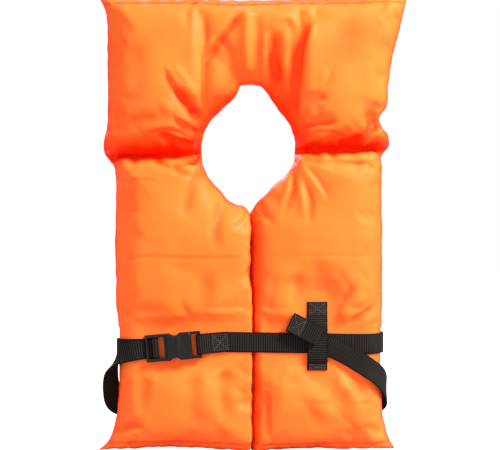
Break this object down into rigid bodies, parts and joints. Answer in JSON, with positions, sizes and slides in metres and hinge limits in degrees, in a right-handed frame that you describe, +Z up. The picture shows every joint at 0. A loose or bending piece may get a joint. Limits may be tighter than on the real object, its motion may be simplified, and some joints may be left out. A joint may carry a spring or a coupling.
{
  "type": "life jacket",
  "caption": "Keyhole foam life jacket with a padded collar, split front panels and a webbing belt closed by a side-release buckle.",
  "frame": {"origin": "on the seam at the middle of the neck opening's top edge, where a peg or hanger holds the jacket", "axes": "+Z up along the jacket, +Y out of the lining at the back, +X to the right as seen from the front"},
  "size_m": [0.38, 0.0752, 0.573],
  "materials": {
    "coated_cover": "satin",
    "lining_cover": "satin",
    "foam": "matte",
    "webbing": "matte",
    "thread": "matte",
    "buckle_plastic": "satin"
  },
  "bodies": {
    "collar": {"collar_front_cover": "coated_cover", "collar_lining_cover": "lining_cover", "collar_foam_1": "foam", "collar_foam_2": "foam", "collar_foam_3": "foam"},
    "front_panels": {"right_panel_front_cover": "coated_cover", "right_panel_lining_cover": "lining_cover", "right_panel_foam_1": "foam", "right_panel_foam_2": "foam", "right_panel_foam_3": "foam", "left_panel_front_cover": "coated_cover", "left_panel_lining_cover": "lining_cover", "left_panel_foam_1": "foam", "left_panel_foam_2": "foam", "left_panel_foam_3": "foam", "belt_front_run": "webbing", "belt_wrap_and_tail": "webbing", "belt_keeper": "webbing", "belt_tail_end": "webbing", "keeper_stitching_upper": "thread", "keeper_stitching_lower": "thread", "tail_end_stitching": "thread", "buckle_plug": "buckle_plastic"},
    "buckle_socket": {"buckle_socket": "buckle_plastic", "belt_socket_end": "webbing", "socket_end_stitching": "thread"},
    "latch_arm_upper": {"latch_arm_upper": "buckle_plastic"},
    "latch_arm_lower": {"latch_arm_lower": "buckle_plastic"}
  },
  "joints": [
    {"name": "panel_fold", "type": "hinge", "parent": "collar", "child": "front_panels", "pos_m": [0, 0.028, -0.089], "axis": [1, 0, 0], "range_deg": [-5, 170]},
    {"name": "buckle_release", "type": "slide", "parent": "front_panels", "child": "buckle_socket", "axis": [0.9962, 0, 0.0872], "range_m": [0, 0.028], "deforming": ["belt_front_run"]},
    {"name": "latch_squeeze_upper", "type": "hinge", "parent": "front_panels", "child": "latch_arm_upper", "pos_m": [-0.10324, -0.034, -0.31998], "axis": [0, 1, 0], "range_deg": [0, 8], "stiffness_Nm_per_rad": 0.05},
    {"name": "latch_squeeze_lower", "type": "hinge", "parent": "front_panels", "child": "latch_arm_lower", "pos_m": [-0.10157, -0.034, -0.33911], "axis": [0, -1, 0], "range_deg": [0, 8], "stiffness_Nm_per_rad": 0.05}
  ],
  "couplings": [
    {"joint": "latch_squeeze_lower", "follows": "latch_squeeze_upper", "ratio": 1}
  ]
}
